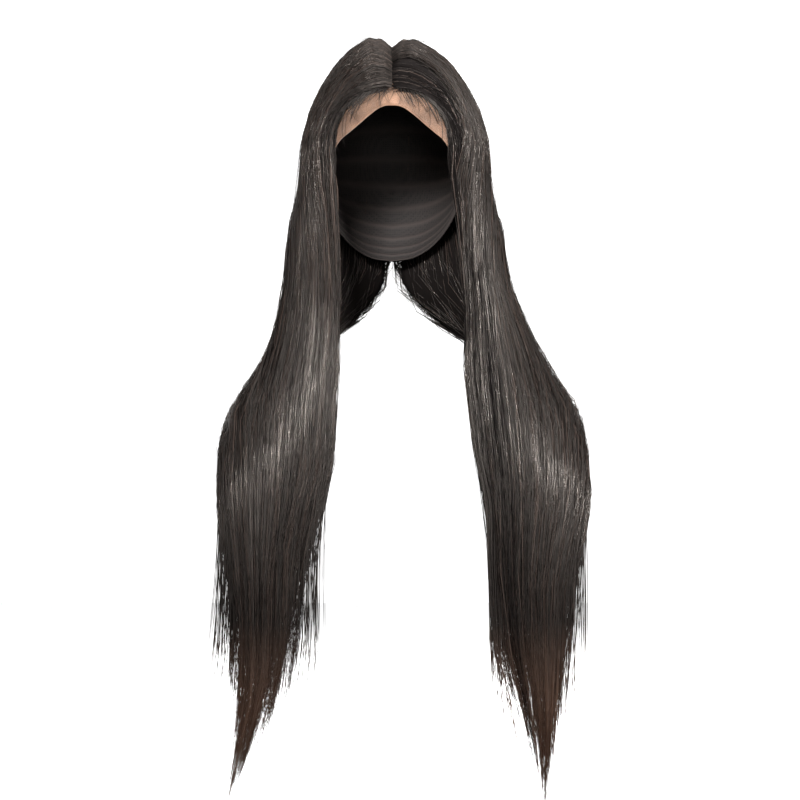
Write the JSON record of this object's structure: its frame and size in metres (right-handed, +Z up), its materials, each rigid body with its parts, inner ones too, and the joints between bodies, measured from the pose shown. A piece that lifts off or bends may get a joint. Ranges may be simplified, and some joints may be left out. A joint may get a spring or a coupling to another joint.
{
  "type": "lace front wig",
  "caption": "Long straight dark wig with a centre part: a stretch cap, a sheer lace front and hair that hangs forward over the shoulders.",
  "frame": {"origin": "inside of the cap at its crown, where it sits on the top of a head", "axes": "+X to the right as seen from the front, -Y to the front where the face opening is, +Z up"},
  "size_m": [0.3401, 0.2202, 0.6969],
  "materials": {
    "hair": "smooth straight hair fibre, natural black brown, with a soft grey sheen",
    "lace": "sheer tan net of fine knitted thread",
    "cap_net": "black stretch net with rows of weft stitched across it"
  },
  "bodies": {
    "root": {"stretch_cap": "cap_net", "lace_front": "lace", "front_hair_left": "hair", "side_hair_left": "hair", "crown_hair_left": "hair", "back_hair_left": "hair", "front_hair_right": "hair", "side_hair_right": "hair", "crown_hair_right": "hair", "back_hair_right": "hair"}
  },
  "joints": []
}
